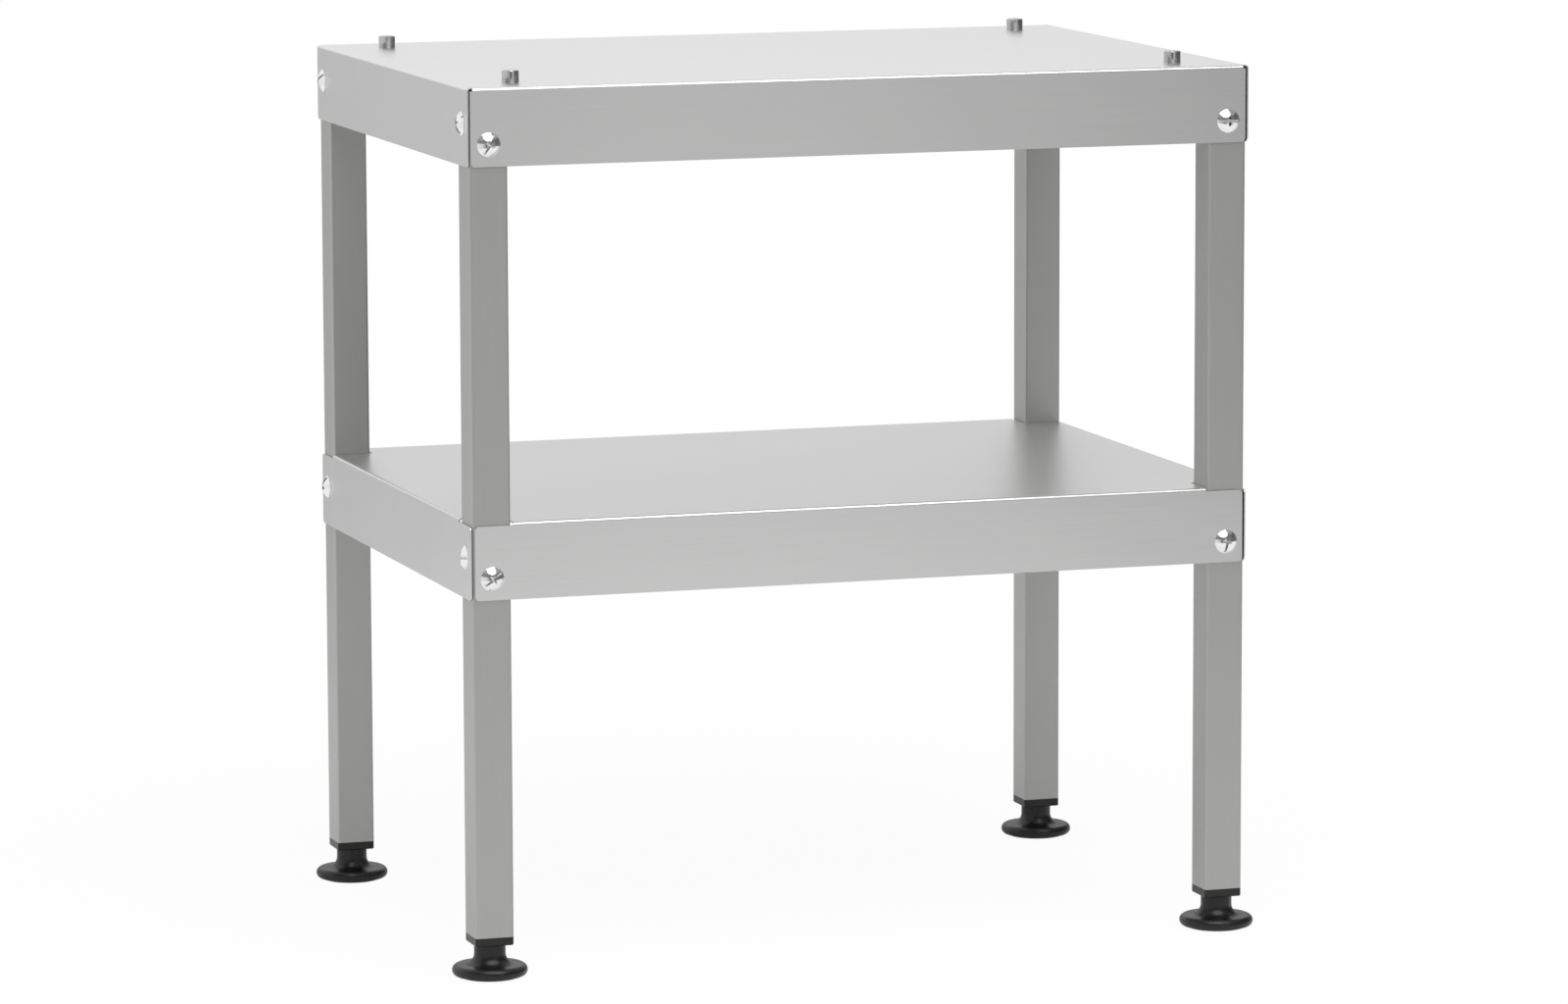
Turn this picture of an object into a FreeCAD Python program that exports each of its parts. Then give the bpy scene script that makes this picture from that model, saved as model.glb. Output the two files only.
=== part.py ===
"""Stand for an outdoor smoker: two folded steel shelves on four square legs with levelling feet.

Millimetres, +Z up. The origin is on the floor under the middle of the stand, +X runs along its width and
the front faces -Y. The feet are modelled fully screwed in.
"""
import FreeCAD, Part
import math
import os

Vector = FreeCAD.Vector

# Shelves, folded from sheet
SHELF_WIDTH = 622.0
SHELF_DEPTH = 443.0
TOP_HEIGHT = 674.0
SHELF_SPACING = 326.0
TOP_SKIRT = 59.0
LOWER_SKIRT = 58.5
SHEET = 1.0
BEND_INSIDE = 1.5
SKIRT_CORNER = 3.5
CORNER_SEAM = 1.3
BEND_RELIEF = 1.8
LOWER_LONG_SETBACK = 3.0
LOWER_SHORT_SETBACK = 1.3
NOTCH_GAP = 1.8

# Legs, square tube
LEG_SIDE = 30.0
LEG_WALL = 1.2
LEG_CORNER = 2.0
LEG_INNER_CORNER = 0.8

# Screws and rivet nuts that hold the shelves to the legs
SCREW_DIAMETER = 8.0
SCREW_LENGTH = 14.0
SCREW_HEAD_DIAMETER = 18.2
SCREW_HEAD_HEIGHT = 4.3
SCREW_HOLE_PLAY = 0.5
SHORT_SKIRT_SCREW_DROP = 27.5
THREAD_CLEARANCE = 0.05
RIVET_FLANGE = 0.5
RIVET_FLANGE_RIM = 1.2
RIVET_BODY_WALL = 1.45
RIVET_BODY_LENGTH = 15.0
RIVET_BULGE = 1.3
RIVET_BULGE_LENGTH = 3.5
RIVET_HOLE_PLAY = 0.1
RIVET_SPACE = 1.5

# Locating pins on the top shelf, each with a threaded tail and a nut under the sheet
PIN_INSET_X = 46.0
PIN_INSET_Y = 43.5
PIN_DIAMETER = 13.0
PIN_HEIGHT = 9.0
PIN_CHAMFER = 0.6
PIN_TAIL_DIAMETER = 6.0
PIN_TAIL_PROUD = 1.5
PIN_NUT_ACROSS_FLATS = 10.0
PIN_NUT_HEIGHT = 5.0

# Inserts in the lower ends of the legs, each with a captive nut
INSERT_FLANGE = 6.4
INSERT_EDGE = 0.6
INSERT_PLUG_LENGTH = 26.0
INSERT_PLUG_PLAY = 0.1
INSERT_NUT_ACROSS_FLATS = 17.0
INSERT_NUT_HEIGHT = 8.4
INSERT_POCKET_PLAY = 0.1

# Levelling feet
FOOT_HEIGHT = 25.3
FOOT_RADIUS = 28.75
FOOT_RIM_RADIUS = 4.25
FOOT_LAND = 4.0
FOOT_NECK_RADIUS = 12.0
FOOT_NECK_STRAIGHT = 7.0
FOOT_LIP = 1.7
FOOT_TRAVEL = 15.0
FOOT_GAP = 0.3
STUD_DIAMETER = 10.0
STUD_FLOOR = 4.7
STUD_SEAT_CLEARANCE = 0.02
STUD_CHAMFER = 1.2
STUD_BORE_PLAY = 0.35
PAD_THICKNESS = 3.0
PAD_PROUD = 1.0
PAD_SPIGOT_RADIUS = 6.0
PAD_RUNNING_CLEARANCE = 0.05

# Places that follow from the sizes above
BEND_OUTSIDE = BEND_INSIDE + SHEET
LEG_INSET = SHEET + RIVET_FLANGE + LEG_SIDE / 2
LEG_X = SHELF_WIDTH / 2 - LEG_INSET
LEG_Y = SHELF_DEPTH / 2 - LEG_INSET
LEG_TOP = TOP_HEIGHT - BEND_OUTSIDE
LOWER_HEIGHT = TOP_HEIGHT - SHELF_SPACING
SHELF_HEIGHTS = {"top": TOP_HEIGHT, "lower": LOWER_HEIGHT}
RIVET_BODY_RADIUS = SCREW_DIAMETER / 2 + RIVET_BODY_WALL
RIVET_BULGE_RADIUS = RIVET_BODY_RADIUS + RIVET_BULGE
LONG_SKIRT_SCREW_DROP = SHORT_SKIRT_SCREW_DROP + 2 * RIVET_BULGE_RADIUS + RIVET_SPACE
INSERT_BOTTOM = FOOT_HEIGHT + FOOT_GAP
LEG_BOTTOM = INSERT_BOTTOM + INSERT_FLANGE
INSERT_TOP = LEG_BOTTOM + INSERT_PLUG_LENGTH
NUT_BOTTOM = INSERT_TOP - INSERT_NUT_HEIGHT
STUD_SEAT = PAD_THICKNESS + FOOT_GAP + STUD_FLOOR
STUD_TOP = INSERT_TOP + FOOT_TRAVEL + STUD_CHAMFER
FOOT_RIM_CENTRE = FOOT_RADIUS - FOOT_RIM_RADIUS
PAD_RADIUS = FOOT_RIM_CENTRE - FOOT_LIP - FOOT_GAP

# The four corners of the stand, as the signs of x and y
CORNERS = {
    "front_left": (-1, -1),
    "front_right": (1, -1),
    "rear_left": (-1, 1),
    "rear_right": (1, 1),
}


def block(x_range, y_range, z_range):
    """A box between two limits along each axis."""
    (x0, x1), (y0, y1), (z0, z1) = (sorted(limits) for limits in (x_range, y_range, z_range))
    return Part.makeBox(x1 - x0, y1 - y0, z1 - z0, Vector(x0, y0, z0))


def rounded(solid, radius, direction, keep=lambda point: True):
    """The solid with its edges along one direction rounded, where keep accepts the middle of the edge."""
    edges = []
    for edge in solid.Edges:
        along = (edge.lastVertex().Point - edge.firstVertex().Point).normalize()
        if abs(along.dot(direction)) > 0.999 and keep(edge.CenterOfMass):
            edges.append(edge)
    return solid.makeFillet(radius, edges)


def revolved(points, arcs=()):
    """A solid turned about Z from (radius, height) points; arcs maps a segment's start to its mid point."""
    arcs = dict(arcs)
    edges = []
    for start, end in zip(points, points[1:] + points[:1]):
        first = Vector(start[0], 0, start[1])
        last = Vector(end[0], 0, end[1])
        if start in arcs:
            middle = Vector(arcs[start][0], 0, arcs[start][1])
            edges.append(Part.Arc(first, middle, last).toShape())
        else:
            edges.append(Part.makeLine(first, last))
    face = Part.Face(Part.Wire(edges))
    return face.revolve(Vector(0, 0, 0), Vector(0, 0, 1), 360)


def placed(solid, x, y, z, outward=Vector(0, 0, 1)):
    """A copy of a solid made about +Z, moved to a place with its +Z end facing outward."""
    turn = FreeCAD.Rotation(Vector(0, 0, 1), outward)
    copy = solid.copy()
    copy.Placement = FreeCAD.Placement(Vector(x, y, z), turn)
    return copy


def skirt_screw_places(shelf_height):
    """Place and outward direction of each screw, on the outer faces of the skirts of one shelf."""
    places = []
    for sign_x, sign_y in CORNERS.values():
        long_skirt = Vector(sign_x * LEG_X, sign_y * SHELF_DEPTH / 2, shelf_height - LONG_SKIRT_SCREW_DROP)
        short_skirt = Vector(sign_x * SHELF_WIDTH / 2, sign_y * LEG_Y, shelf_height - SHORT_SKIRT_SCREW_DROP)
        places.append((long_skirt, Vector(0, sign_y, 0)))
        places.append((short_skirt, Vector(sign_x, 0, 0)))
    return places


def pin_places():
    """Centres of the locating pins on the top shelf."""
    x = SHELF_WIDTH / 2 - PIN_INSET_X
    y = SHELF_DEPTH / 2 - PIN_INSET_Y
    return {name: (sign_x * x, sign_y * y) for name, (sign_x, sign_y) in CORNERS.items()}


def folded_side(length, bend_length, half_span, height, skirt, free_ends):
    """The bend and skirt along the -Y side of a shelf, centred on x = 0.

    The skirt hangs from the bend and is longer than it. Its lower corners are rounded, and its upper
    corners too where the ends stand free of the shelf's top.
    """
    bend_top = height - BEND_OUTSIDE
    panel = block((-length / 2, length / 2), (-half_span, SHEET - half_span), (height - skirt, bend_top))
    middle = height - skirt / 2
    panel = rounded(panel, SKIRT_CORNER, Vector(0, 1, 0), lambda point: free_ends or point.z < middle)
    axis_y = BEND_OUTSIDE - half_span
    start = Vector(-bend_length / 2, axis_y, bend_top)
    along = Vector(1, 0, 0)
    outer = Part.makeCylinder(BEND_OUTSIDE, bend_length, start, along)
    inner = Part.makeCylinder(BEND_INSIDE, bend_length, start, along)
    quarter = block((-bend_length / 2, bend_length / 2), (-half_span, axis_y), (bend_top, height))
    return panel.fuse(outer.cut(inner).common(quarter))


def folded_sides(long_side, short_side):
    """All four sides of a shelf, from its front side and its left side built along the front."""
    vertical = Vector(0, 0, 1)
    origin = Vector(0, 0, 0)
    sides = []
    for side, angle in ((long_side, 0), (long_side, 180), (short_side, -90), (short_side, 90)):
        copy = side.copy()
        copy.rotate(origin, vertical, angle)
        sides.append(copy)
    return sides


def drilled_for_screws(shelf, height):
    """The shelf with a clearance hole for each screw in its skirts."""
    radius = (SCREW_DIAMETER + SCREW_HOLE_PLAY) / 2
    holes = []
    for place, outward in skirt_screw_places(height):
        holes.append(Part.makeCylinder(radius, 2 * BEND_OUTSIDE, place - outward * BEND_OUTSIDE, outward))
    return shelf.cut(Part.Compound(holes))


def shelf_plate(height):
    """The flat top of a shelf, up to the lines where its bends start."""
    half_x = SHELF_WIDTH / 2 - BEND_OUTSIDE
    half_y = SHELF_DEPTH / 2 - BEND_OUTSIDE
    return block((-half_x, half_x), (-half_y, half_y), (height - SHEET, height))


def top_shelf():
    """The upper shelf: its side skirts run the full depth and cover the ends of the front and rear ones.

    Each corner is an open seam, with a relief slot at its top where the two bends would meet.
    """
    long_side = folded_side(
        SHELF_WIDTH - 2 * (SHEET + CORNER_SEAM), SHELF_WIDTH - 2 * (BEND_OUTSIDE + BEND_RELIEF),
        SHELF_DEPTH / 2, TOP_HEIGHT, TOP_SKIRT, free_ends=False,
    )
    short_side = folded_side(
        SHELF_DEPTH, SHELF_DEPTH, SHELF_WIDTH / 2, TOP_HEIGHT, TOP_SKIRT, free_ends=False,
    )
    shelf = shelf_plate(TOP_HEIGHT).fuse(folded_sides(long_side, short_side)).removeSplitter()
    shelf = drilled_for_screws(shelf, TOP_HEIGHT)
    radius = (PIN_TAIL_DIAMETER + SCREW_HOLE_PLAY) / 2
    holes = [
        Part.makeCylinder(radius, 2 * SHEET, Vector(x, y, TOP_HEIGHT - 1.5 * SHEET))
        for x, y in pin_places().values()
    ]
    return shelf.cut(Part.Compound(holes))


def lower_shelf():
    """The lower shelf: its top and bends stop at the legs, and its skirts run on over the legs' outer faces."""
    notch_x = LEG_X - LEG_SIDE / 2 - NOTCH_GAP
    notch_y = LEG_Y - LEG_SIDE / 2 - NOTCH_GAP
    long_side = folded_side(
        SHELF_WIDTH - 2 * LOWER_LONG_SETBACK, 2 * notch_x,
        SHELF_DEPTH / 2, LOWER_HEIGHT, LOWER_SKIRT, free_ends=True,
    )
    short_side = folded_side(
        SHELF_DEPTH - 2 * LOWER_SHORT_SETBACK, 2 * notch_y,
        SHELF_WIDTH / 2, LOWER_HEIGHT, LOWER_SKIRT, free_ends=True,
    )
    plate = shelf_plate(LOWER_HEIGHT)
    for sign_x, sign_y in CORNERS.values():
        notch = block(
            (sign_x * notch_x, sign_x * SHELF_WIDTH / 2),
            (sign_y * notch_y, sign_y * SHELF_DEPTH / 2),
            (LOWER_HEIGHT - 2 * SHEET, LOWER_HEIGHT + SHEET),
        )
        notch = rounded(
            notch, LEG_CORNER, Vector(0, 0, 1),
            lambda point: abs(point.x) < LEG_X and abs(point.y) < LEG_Y,
        )
        plate = plate.cut(notch)
    shelf = plate.fuse(folded_sides(long_side, short_side)).removeSplitter()
    return drilled_for_screws(shelf, LOWER_HEIGHT)


def square_bar(side, corner, z_range):
    """An upright square bar with rounded corners, centred on the Z axis."""
    half = side / 2
    return rounded(block((-half, half), (-half, half), z_range), corner, Vector(0, 0, 1))


def leg(sign_x, sign_y):
    """A square tube with a hole for each rivet nut in its two outward faces."""
    tube = square_bar(LEG_SIDE, LEG_CORNER, (LEG_BOTTOM, LEG_TOP))
    bore = square_bar(LEG_SIDE - 2 * LEG_WALL, LEG_INNER_CORNER, (LEG_BOTTOM, LEG_TOP))
    tube = tube.cut(bore)
    tube.translate(Vector(sign_x * LEG_X, sign_y * LEG_Y, 0))
    radius = RIVET_BODY_RADIUS + RIVET_HOLE_PLAY
    depth = LEG_SIDE / 2
    holes = []
    for height in SHELF_HEIGHTS.values():
        for place, outward in skirt_screw_places(height):
            holes.append(Part.makeCylinder(radius, depth, place - outward * depth, outward))
    return tube.cut(Part.Compound(holes))


def shelf_screw():
    """A truss-head screw along +Z with the seat of its head at z = 0; its recess and thread are left out."""
    shank = SCREW_DIAMETER / 2
    rim = SCREW_HEAD_DIAMETER / 2
    dome = (rim ** 2 + SCREW_HEAD_HEIGHT ** 2) / (2 * SCREW_HEAD_HEIGHT)
    on_dome = math.sqrt(dome ** 2 - (rim / 2) ** 2) - (dome - SCREW_HEAD_HEIGHT)
    points = [(0, -SCREW_LENGTH), (shank, -SCREW_LENGTH), (shank, 0), (rim, 0), (0, SCREW_HEAD_HEIGHT)]
    return revolved(points, {(rim, 0): (rim / 2, on_dome)})


def rivet_nut():
    """A rivet nut along +Z: a thin flange outside the leg's wall and a bulge that grips the wall's inner face.

    The flange's outer face is at z = 0.
    """
    bore = SCREW_DIAMETER / 2 + THREAD_CLEARANCE
    body = RIVET_BODY_RADIUS
    flange = body + RIVET_FLANGE_RIM
    bulge = RIVET_BULGE_RADIUS
    wall_inside = -RIVET_FLANGE - LEG_WALL
    bulge_end = wall_inside - RIVET_BULGE_LENGTH
    end = -RIVET_FLANGE - RIVET_BODY_LENGTH
    points = [
        (bore, 0), (flange, 0), (flange, -RIVET_FLANGE), (body, -RIVET_FLANGE), (body, wall_inside),
        (bulge, wall_inside), (body, bulge_end), (body, end), (bore, end),
    ]
    return revolved(points)


def shelf_fastenings(solid, height, setback):
    """One copy of a fastener at each screw of a shelf, set back from the skirts' outer faces."""
    copies = []
    for place, outward in skirt_screw_places(height):
        seat = place - outward * setback
        copies.append(placed(solid, seat.x, seat.y, seat.z, outward))
    return Part.Compound(copies)


def locating_pin():
    """A turned pin that stands at z = 0 with a chamfered top, and its threaded tail down through the sheet."""
    radius = PIN_DIAMETER / 2
    tail = PIN_TAIL_DIAMETER / 2
    tail_end = -SHEET - PIN_NUT_HEIGHT - PIN_TAIL_PROUD
    points = [
        (0, tail_end), (tail, tail_end), (tail, 0), (radius, 0), (radius, PIN_HEIGHT - PIN_CHAMFER),
        (radius - PIN_CHAMFER, PIN_HEIGHT), (0, PIN_HEIGHT),
    ]
    return revolved(points)


def hexagon(across_flats, z_range):
    """An upright hexagonal prism with two flats across X."""
    corner = across_flats / math.sqrt(3)
    points = []
    for index in range(6):
        angle = math.radians(60 * index + 30)
        points.append(Vector(corner * math.cos(angle), corner * math.sin(angle), z_range[0]))
    face = Part.Face(Part.makePolygon(points + points[:1]))
    return face.extrude(Vector(0, 0, z_range[1] - z_range[0]))


def leg_insert():
    """A square plug with a flange that closes the leg, a bore for the stud and a pocket for the nut."""
    flange = square_bar(LEG_SIDE, LEG_CORNER, (INSERT_BOTTOM, LEG_BOTTOM))
    under = [edge for edge in flange.Edges if edge.BoundBox.ZMax < LEG_BOTTOM - INSERT_FLANGE / 2]
    flange = flange.makeChamfer(INSERT_EDGE, under)
    plug_side = LEG_SIDE - 2 * (LEG_WALL + INSERT_PLUG_PLAY)
    plug = square_bar(plug_side, LEG_INNER_CORNER, (LEG_BOTTOM, INSERT_TOP))
    bore_radius = STUD_DIAMETER / 2 + STUD_BORE_PLAY
    bore = Part.makeCylinder(bore_radius, INSERT_TOP - INSERT_BOTTOM, Vector(0, 0, INSERT_BOTTOM))
    pocket = hexagon(INSERT_NUT_ACROSS_FLATS + 2 * INSERT_POCKET_PLAY, (NUT_BOTTOM, INSERT_TOP))
    return flange.fuse(plug).cut([bore, pocket])


def nut(across_flats, bolt_diameter, z_range):
    """A plain hexagon nut about the Z axis; its thread is left out."""
    radius = bolt_diameter / 2 + THREAD_CLEARANCE
    bore = Part.makeCylinder(radius, z_range[1] - z_range[0], Vector(0, 0, z_range[0]))
    return hexagon(across_flats, z_range).cut(bore)


def foot_base():
    """The moulded foot: a disc with a full-round rim that sweeps up through a concave flare into the neck.

    A recess under the disc holds the pad on a spigot, and a blind hole in the neck holds the stud.
    """
    rim_middle = PAD_PROUD + FOOT_RIM_RADIUS
    disc_top = PAD_PROUD + 2 * FOOT_RIM_RADIUS
    flare_room = FOOT_RIM_CENTRE - FOOT_LAND - FOOT_NECK_RADIUS
    flare = min(flare_room, FOOT_HEIGHT - disc_top - FOOT_NECK_STRAIGHT)
    flare_start = FOOT_NECK_RADIUS + flare
    flare_top = disc_top + flare
    bend = flare * (1 - math.sqrt(0.5))
    recess = PAD_RADIUS + FOOT_GAP
    recess_top = PAD_THICKNESS + FOOT_GAP
    stud_hole = STUD_DIAMETER / 2 + STUD_SEAT_CLEARANCE
    points = [
        (0, PAD_PROUD), (PAD_SPIGOT_RADIUS, PAD_PROUD), (PAD_SPIGOT_RADIUS, recess_top), (recess, recess_top),
        (recess, PAD_PROUD), (FOOT_RIM_CENTRE, PAD_PROUD), (FOOT_RIM_CENTRE, disc_top),
        (flare_start, disc_top), (FOOT_NECK_RADIUS, flare_top), (FOOT_NECK_RADIUS, FOOT_HEIGHT),
        (stud_hole, FOOT_HEIGHT), (stud_hole, STUD_SEAT), (0, STUD_SEAT),
    ]
    arcs = {
        (FOOT_RIM_CENTRE, PAD_PROUD): (FOOT_RADIUS, rim_middle),
        (flare_start, disc_top): (FOOT_NECK_RADIUS + bend, disc_top + bend),
    }
    return revolved(points, arcs)


def foot_stud():
    """The threaded stud that stands in the foot's neck and runs up through the nut; its thread is left out."""
    radius = STUD_DIAMETER / 2
    points = [
        (0, STUD_SEAT), (radius, STUD_SEAT), (radius, STUD_TOP - STUD_CHAMFER),
        (radius - STUD_CHAMFER, STUD_TOP), (0, STUD_TOP),
    ]
    return revolved(points)


def foot_pad():
    """The flat non-slip ring under the foot, on which the foot turns."""
    bore = PAD_SPIGOT_RADIUS + PAD_RUNNING_CLEARANCE
    return revolved([(bore, 0), (PAD_RADIUS, 0), (PAD_RADIUS, PAD_THICKNESS), (bore, PAD_THICKNESS)])


def stand():
    """Every piece of the stand in its place, by name."""
    pieces = {"top_shelf": top_shelf(), "lower_shelf": lower_shelf()}
    for shelf, height in SHELF_HEIGHTS.items():
        pieces[shelf + "_shelf_screws"] = shelf_fastenings(shelf_screw(), height, 0)
        pieces[shelf + "_shelf_rivet_nuts"] = shelf_fastenings(rivet_nut(), height, SHEET)
    pin_nut = nut(PIN_NUT_ACROSS_FLATS, PIN_TAIL_DIAMETER, (-PIN_NUT_HEIGHT, 0))
    insert_nut = nut(INSERT_NUT_ACROSS_FLATS, STUD_DIAMETER, (NUT_BOTTOM, INSERT_TOP))
    pin_nuts = []
    insert_nuts = []
    for corner, (sign_x, sign_y) in CORNERS.items():
        x = sign_x * LEG_X
        y = sign_y * LEG_Y
        pieces[corner + "_leg"] = leg(sign_x, sign_y)
        pieces[corner + "_leg_insert"] = placed(leg_insert(), x, y, 0)
        pieces[corner + "_foot_base"] = placed(foot_base(), x, y, 0)
        pieces[corner + "_foot_stud"] = placed(foot_stud(), x, y, 0)
        pieces[corner + "_foot_pad"] = placed(foot_pad(), x, y, 0)
        insert_nuts.append(placed(insert_nut, x, y, 0))
        pin_x, pin_y = pin_places()[corner]
        pieces[corner + "_locating_pin"] = placed(locating_pin(), pin_x, pin_y, TOP_HEIGHT)
        pin_nuts.append(placed(pin_nut, pin_x, pin_y, TOP_HEIGHT - SHEET))
    pieces["locating_pin_nuts"] = Part.Compound(pin_nuts)
    pieces["leg_insert_nuts"] = Part.Compound(insert_nuts)
    return pieces


os.makedirs("parts", exist_ok=True)
for node, shape in stand().items():
    shape.exportStep("parts/" + node + ".step")
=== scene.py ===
"""Studio picture of a stand for an outdoor smoker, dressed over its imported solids. Metres, +Z up."""
import math
import bmesh
import bpy
from mathutils import Matrix, Vector


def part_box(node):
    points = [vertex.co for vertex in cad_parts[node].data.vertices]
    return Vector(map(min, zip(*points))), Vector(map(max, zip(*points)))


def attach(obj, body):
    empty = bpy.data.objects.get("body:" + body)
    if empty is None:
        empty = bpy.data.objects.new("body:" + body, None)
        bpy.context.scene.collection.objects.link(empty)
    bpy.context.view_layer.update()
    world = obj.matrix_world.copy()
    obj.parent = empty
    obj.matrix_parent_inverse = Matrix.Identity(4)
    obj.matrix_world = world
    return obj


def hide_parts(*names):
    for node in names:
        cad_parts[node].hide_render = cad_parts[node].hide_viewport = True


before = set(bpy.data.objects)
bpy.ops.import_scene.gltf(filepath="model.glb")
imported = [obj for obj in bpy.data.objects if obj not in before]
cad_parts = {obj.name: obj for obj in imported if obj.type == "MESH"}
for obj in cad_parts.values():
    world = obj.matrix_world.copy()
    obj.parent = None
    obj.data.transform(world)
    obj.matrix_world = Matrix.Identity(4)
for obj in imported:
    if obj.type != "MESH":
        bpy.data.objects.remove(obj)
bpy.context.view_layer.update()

# Legs: four lengths of 30 mm square stainless tube with a 1.2 mm wall, cut square at both ends and drilled
# through their outward faces. The tube is drawn and polished along its length, so its grain runs upright.
MM = 0.001
CORNERS = {
    "front_left": (-1, -1),
    "front_right": (1, -1),
    "rear_left": (-1, 1),
    "rear_right": (1, 1),
}


def linear(colour):
    """An sRGB hex colour as linear RGBA."""
    channels = [int(colour[index:index + 2], 16) / 255 for index in (1, 3, 5)]
    return [c / 12.92 if c <= 0.04045 else ((c + 0.055) / 1.055) ** 2.4 for c in channels] + [1.0]


def add_node(tree, kind, inputs=None, **settings):
    """A new node with its settings; inputs gives each socket a value or the output of another node."""
    node = tree.nodes.new(kind)
    for name, value in settings.items():
        setattr(node, name, value)
    for name, value in (inputs or {}).items():
        if isinstance(value, bpy.types.NodeSocket):
            tree.links.new(value, node.inputs[name])
        else:
            node.inputs[name].default_value = value
    return node


def empty_material(name):
    """A new material and its bare node tree."""
    material = bpy.data.materials.new(name)
    material.use_nodes = True
    material.node_tree.nodes.clear()
    return material, material.node_tree


def satin_stainless(name, dark, light, streak, side_streak, roughness):
    """Stainless steel with a satin grain.

    A streak is the size of one polishing scratch along x, y and z in millimetres, and side_streak is its
    size on faces that look along X. The scratches are drawn about three times too wide, so that they show.
    """
    material, tree = empty_material(name)
    place = add_node(tree, "ShaderNodeTexCoord")
    facing = add_node(tree, "ShaderNodeSeparateXYZ", {0: place.outputs["Normal"]})
    sideways = add_node(tree, "ShaderNodeMath", {0: facing.outputs["X"]}, operation="ABSOLUTE")
    half_turned = 0.7
    on_side = add_node(tree, "ShaderNodeMath", {
        0: sideways.outputs[0], 1: half_turned,
    }, operation="GREATER_THAN")
    flat = add_node(tree, "ShaderNodeMapping", {
        "Vector": place.outputs["Object"], "Scale": [1 / (size * MM) for size in streak],
    })
    side = add_node(tree, "ShaderNodeMapping", {
        "Vector": place.outputs["Object"], "Scale": [1 / (size * MM) for size in side_streak],
    })
    followed = add_node(tree, "ShaderNodeMix", {
        0: on_side.outputs[0], 4: flat.outputs[0], 5: side.outputs[0],
    }, data_type="VECTOR")
    grain = add_node(tree, "ShaderNodeTexNoise", {
        "Vector": followed.outputs[1], "Scale": 1.0, "Detail": 3.0,
    })
    cloud_size = 90 * MM
    cloud = add_node(tree, "ShaderNodeTexNoise", {
        "Vector": place.outputs["Object"], "Scale": 1 / cloud_size, "Detail": 2.0,
    })
    tone = add_node(tree, "ShaderNodeMix", {
        0: grain.outputs[0], 6: linear(dark), 7: linear(light),
    }, data_type="RGBA")
    scratch_spread = 0.03
    rough_grain = add_node(tree, "ShaderNodeMapRange", {
        "Value": grain.outputs[0], "From Min": 0.3, "From Max": 0.7,
        "To Min": roughness - scratch_spread, "To Max": roughness + scratch_spread,
    })
    cloud_spread = 0.04
    rough = add_node(tree, "ShaderNodeMath", {
        0: cloud.outputs[0], 1: cloud_spread, 2: rough_grain.outputs[0],
    }, operation="MULTIPLY_ADD")
    scratch_depth = 0.004 * MM
    bump = add_node(tree, "ShaderNodeBump", {
        "Height": grain.outputs[0], "Strength": 0.5, "Distance": scratch_depth,
    })
    steel = add_node(tree, "ShaderNodeBsdfPrincipled", {
        "Base Color": tone.outputs[2], "Metallic": 1.0, "Roughness": rough.outputs[0],
        "Normal": bump.outputs[0],
    })
    add_node(tree, "ShaderNodeOutputMaterial", {"Surface": steel.outputs[0]})
    return material


TUBE_STREAK = (0.6, 0.6, 60.0)
tube_steel = satin_stainless("stainless_tube_satin", "#b4b4b3", "#bebebd", TUBE_STREAK, TUBE_STREAK, 0.5)
for corner in CORNERS:
    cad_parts[corner + "_leg"].material_slots[0].material = tube_steel

# Rivet nuts: turned steel sleeves with a thin flange, zinc plated, squeezed into the holes of the legs so
# that a bulge grips the wall from inside. They give the thin tube a thread for the shelf screws.


def zinc_plate():
    """Bright zinc plating: a cool grey metal with the faint cloudy patches that the bath leaves."""
    material, tree = empty_material("steel_bright_zinc_plated")
    place = add_node(tree, "ShaderNodeTexCoord")
    patch_size = 2.5 * MM
    patches = add_node(tree, "ShaderNodeTexNoise", {
        "Vector": place.outputs["Object"], "Scale": 1 / patch_size, "Detail": 4.0, "Roughness": 0.65,
    })
    tone = add_node(tree, "ShaderNodeMix", {
        0: patches.outputs[0], 6: linear("#9fa3a8"), 7: linear("#ced1d3"),
    }, data_type="RGBA")
    rough = add_node(tree, "ShaderNodeMapRange", {
        "Value": patches.outputs[0], "From Min": 0.3, "From Max": 0.7, "To Min": 0.25, "To Max": 0.42,
    })
    metal = add_node(tree, "ShaderNodeBsdfPrincipled", {
        "Base Color": tone.outputs[2], "Metallic": 1.0, "Roughness": rough.outputs[0],
    })
    add_node(tree, "ShaderNodeOutputMaterial", {"Surface": metal.outputs[0]})
    return material


zinc = zinc_plate()
for nuts in ("top_shelf_rivet_nuts", "lower_shelf_rivet_nuts"):
    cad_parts[nuts].material_slots[0].material = zinc

# Leg inserts: square plugs moulded in black polypropylene, pressed into the lower ends of the legs so that
# a 6 mm flange closes each tube. A zinc-plated hexagon nut sits in a pocket at the top of each plug.

# Points that lie closer together than this become one point
WELD = 0.002 * MM


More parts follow.
